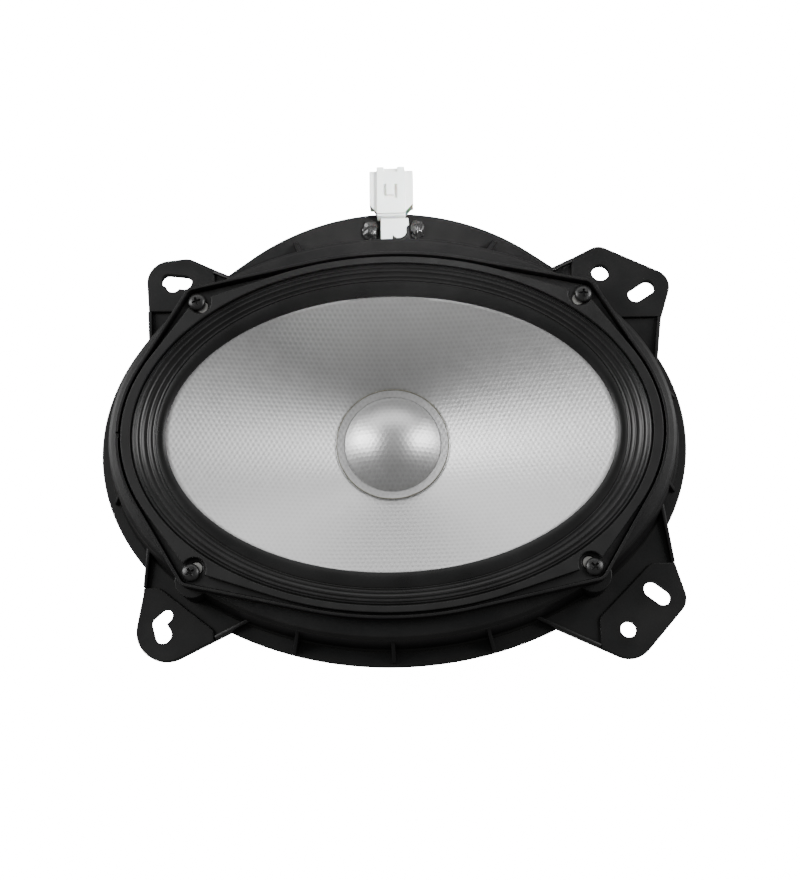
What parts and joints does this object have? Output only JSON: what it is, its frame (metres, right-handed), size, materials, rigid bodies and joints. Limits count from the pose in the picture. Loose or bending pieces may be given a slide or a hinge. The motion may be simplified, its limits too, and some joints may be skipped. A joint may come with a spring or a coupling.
{
  "type": "6x9 inch car speaker",
  "caption": "Oval car loudspeaker driver with a metallised cone, screwed to a black moulded door adapter with a white two-way connector.",
  "frame": {"origin": "centre of the magnet assembly's flat rear face, on the driver's axis", "axes": "+Z towards the listener, +X along the long axis, +Y towards the connector"},
  "size_m": [0.255, 0.2235, 0.08],
  "materials": {
    "black_plastic": "satin moulded",
    "black_foam": "matte foam",
    "black_rubber": "satin",
    "black_screw": "black oxide",
    "black_steel": "satin black paint",
    "zinc_steel": "bright zinc",
    "silver_weave": "metallised embossed weave",
    "olive_glue": "clear set adhesive",
    "former_paper": "matte",
    "coil_copper": "enamelled",
    "spider_cloth": "resin-stiffened cloth",
    "plated_steel": "zinc plated",
    "ferrite": "sintered",
    "phenolic": "laminate",
    "tinned_brass": "tinned",
    "brass": "plain",
    "ivory_nylon": "satin",
    "hot_melt": "glossy",
    "red_insulation": "satin",
    "black_insulation": "satin"
  },
  "bodies": {
    "frame": {"adapter_rim": "black_plastic", "adapter_deck": "black_plastic", "adapter_wall": "black_plastic", "adapter_flange": "black_plastic", "adapter_ear_top_left": "black_plastic", "adapter_ear_top_right": "black_plastic", "adapter_ear_bottom_left": "black_plastic", "adapter_ear_bottom_right": "black_plastic", "rear_foam_gasket": "black_foam", "basket": "black_steel", "front_gasket": "black_foam", "surround": "black_rubber", "spider": "spider_cloth", "yoke": "plated_steel", "ferrite_magnet": "ferrite", "top_plate": "plated_steel", "terminal_strip": "phenolic", "terminal_rivet": "brass", "terminal_positive": "tinned_brass", "terminal_negative": "tinned_brass", "tinsel_lead_positive": "tinned_brass", "tinsel_lead_negative": "tinned_brass", "connector_housing": "ivory_nylon", "connector_bracket": "ivory_nylon", "connector_pin_positive": "brass", "connector_pin_negative": "brass", "lead_wire_positive": "red_insulation", "lead_wire_negative": "black_insulation", "hot_glue_left": "hot_melt", "hot_glue_right": "hot_melt", "frame_screw_top_left": "black_screw", "screw_clip_top_left": "zinc_steel", "frame_screw_top_right": "black_screw", "screw_clip_top_right": "zinc_steel", "frame_screw_bottom_left": "black_screw", "screw_clip_bottom_left": "zinc_steel", "frame_screw_bottom_right": "black_screw", "screw_clip_bottom_right": "zinc_steel"},
    "cone_assembly": {"cone": "silver_weave", "dust_cap": "silver_weave", "dust_cap_glue": "olive_glue", "voice_coil_former": "former_paper", "voice_coil_winding": "coil_copper"}
  },
  "joints": [
    {"name": "cone_excursion", "type": "slide", "parent": "frame", "child": "cone_assembly", "axis": [0, 0, 1], "range_m": [-0.005, 0.005], "stiffness_N_per_m": 2000, "deforming": ["surround", "spider", "tinsel_lead_positive", "tinsel_lead_negative"]}
  ]
}
